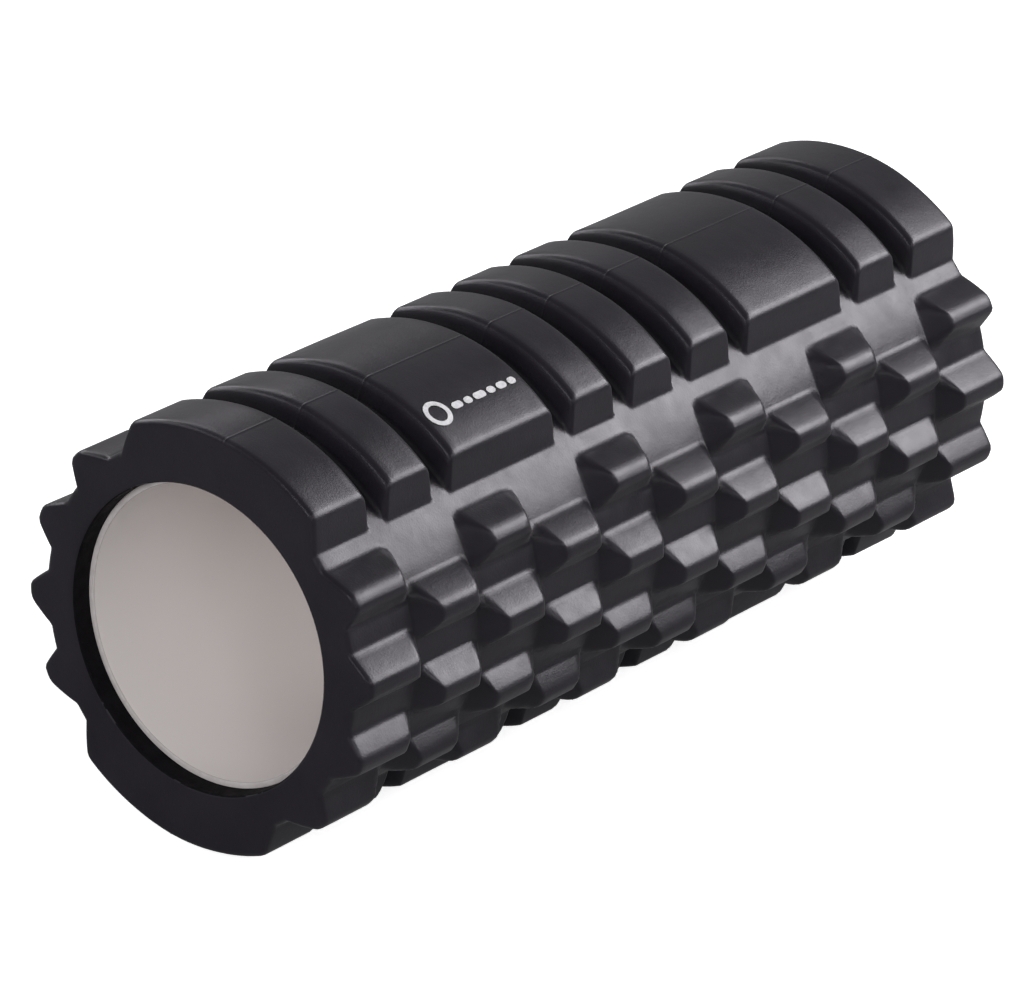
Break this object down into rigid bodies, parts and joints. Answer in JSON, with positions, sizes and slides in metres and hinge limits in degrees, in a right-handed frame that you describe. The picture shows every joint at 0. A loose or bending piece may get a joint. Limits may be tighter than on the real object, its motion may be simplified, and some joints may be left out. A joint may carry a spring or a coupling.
{
  "type": "foam roller",
  "caption": "Textured massage foam roller: moulded foam sleeve with rows of smooth pads and rows of raised nubs, bonded on a hollow rigid core tube that is open right through.",
  "frame": {"origin": "middle of the roller's axis, halfway between the two end faces", "axes": "+Y along the roller's axis, +Z through the middle of one row of smooth pads, +X through the middle of one row of nubs"},
  "size_m": [0.138, 0.33, 0.14],
  "materials": {
    "eva_foam": "satin moulded closed-cell foam, black with a faint warm grey bloom",
    "core_plastic": "semi-matt extruded plastic, light warm grey",
    "print_ink": "matt white pad print"
  },
  "bodies": {
    "root": {"foam_sleeve": "eva_foam", "core_tube": "core_plastic", "print_mark": "print_ink"}
  },
  "joints": []
}
